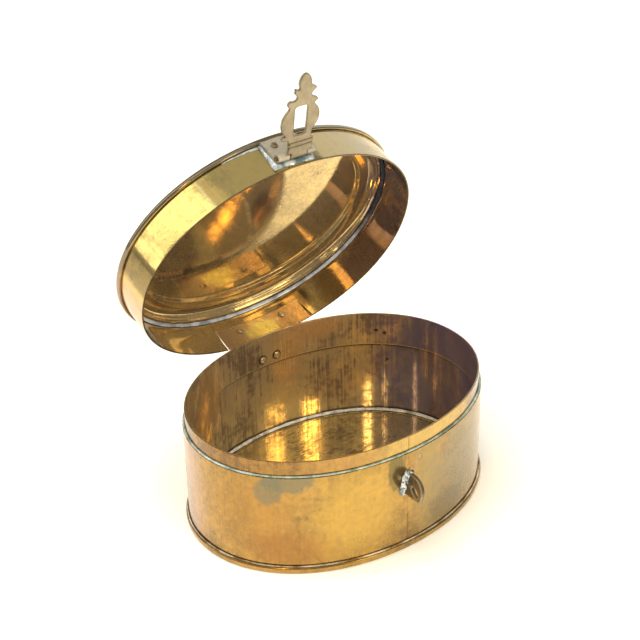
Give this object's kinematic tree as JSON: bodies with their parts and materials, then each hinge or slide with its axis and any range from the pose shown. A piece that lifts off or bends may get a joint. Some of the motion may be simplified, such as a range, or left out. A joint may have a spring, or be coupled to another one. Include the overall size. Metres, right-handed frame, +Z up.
{
  "type": "trinket box",
  "caption": "Oval sheet-brass keepsake box with a hinged moulded lid, an inner collar, and a pierced hasp that folds over a staple.",
  "frame": {"origin": "centre of the box's flat underside", "axes": "+Z up; +X along the oval's long axis; the hasp and staple at -Y, the lid's hinge at +Y"},
  "size_m": [0.1528, 0.1482, 0.2088],
  "materials": {
    "aged_brass": "polished brass dulled by age",
    "golden_brass": "thin rolled brass, rubbed bright",
    "dark_brass": "tarnished brass",
    "coppery_brass": "reddish brass plate",
    "raw_brass": "filed sheet brass, matt",
    "soft_solder": "tin-lead solder",
    "drawn_wire": "drawn brass wire"
  },
  "bodies": {
    "box": {"base_plate": "aged_brass", "body_wall": "aged_brass", "rim_collar": "golden_brass", "collar_solder_bead": "soft_solder", "foot_solder_bead": "soft_solder", "floor_solder_fillet": "soft_solder", "hinge_body_leaf": "aged_brass", "hinge_pin": "drawn_wire", "body_hinge_rivet_left": "dark_brass", "body_hinge_rivet_right": "dark_brass", "staple": "raw_brass", "staple_solder": "soft_solder"},
    "lid": {"lid_top": "aged_brass", "lid_skirt": "golden_brass", "lid_solder_fillet": "soft_solder", "hinge_seat_plate": "coppery_brass", "hinge_lid_leaf": "aged_brass", "lid_hinge_rivet_left": "dark_brass", "lid_hinge_rivet_right": "dark_brass", "hasp_solder_pad": "soft_solder", "hasp_leaf": "raw_brass", "hasp_leaf_rivet": "raw_brass", "hasp_pin": "drawn_wire"},
    "hasp": {"hasp": "raw_brass"}
  },
  "joints": [
    {"name": "lid_hinge", "type": "hinge", "parent": "box", "child": "lid", "pos_m": [0.0025, 0.0591, 0.0527], "axis": [-1, 0, 0], "range_deg": [-70.8, 109]},
    {"name": "hasp_hinge", "type": "hinge", "parent": "lid", "child": "hasp", "pos_m": [-0.0005, 0.02412, 0.16653], "axis": [-1, 0, 0], "range_deg": [-92, 85]}
  ]
}
